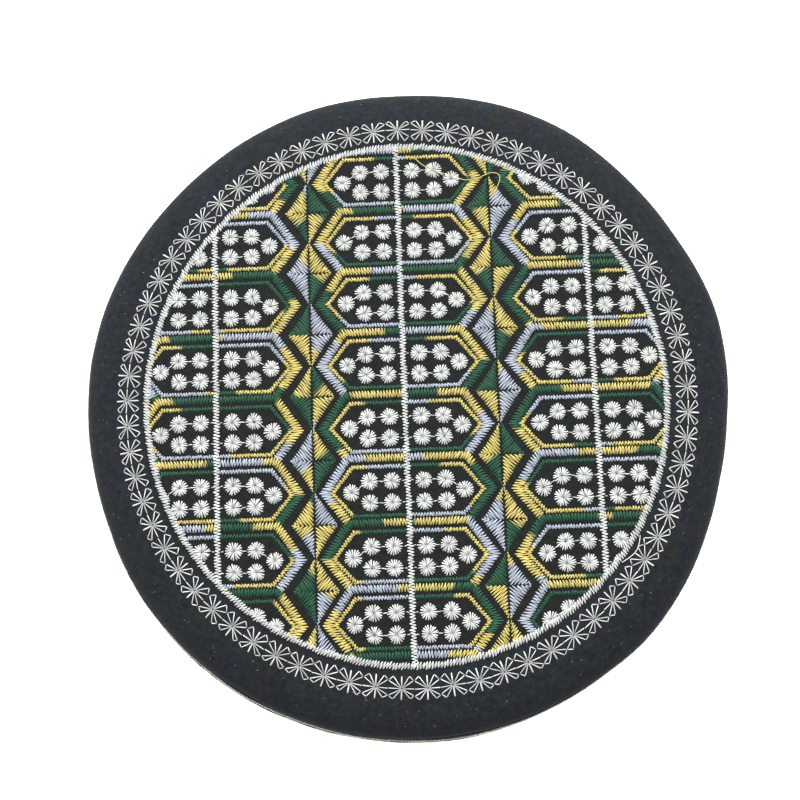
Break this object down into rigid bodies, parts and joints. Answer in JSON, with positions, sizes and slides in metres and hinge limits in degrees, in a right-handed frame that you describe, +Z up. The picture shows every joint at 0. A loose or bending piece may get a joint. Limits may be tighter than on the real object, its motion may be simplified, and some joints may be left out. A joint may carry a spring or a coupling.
{
  "type": "prayer cap",
  "caption": "Brimless round cap with a flat embroidered crown, a rolled crown edge and an upright cloth side band, open below for the head.",
  "frame": {"origin": "in the plane of the rim, under the middle of the cap", "axes": "+Z up through the crown, -Y to the front of the cap along its slightly longer axis"},
  "size_m": [0.1902, 0.1942, 0.09],
  "materials": {
    "cap_cloth": "matte blue-black twill",
    "white_thread": "soft-sheen white embroidery thread",
    "dyed_thread": "soft-sheen embroidery thread dyed yellow, green and pale lavender along its length"
  },
  "bodies": {
    "root": {"crown": "cap_cloth", "side_band": "cap_cloth"}
  },
  "joints": []
}
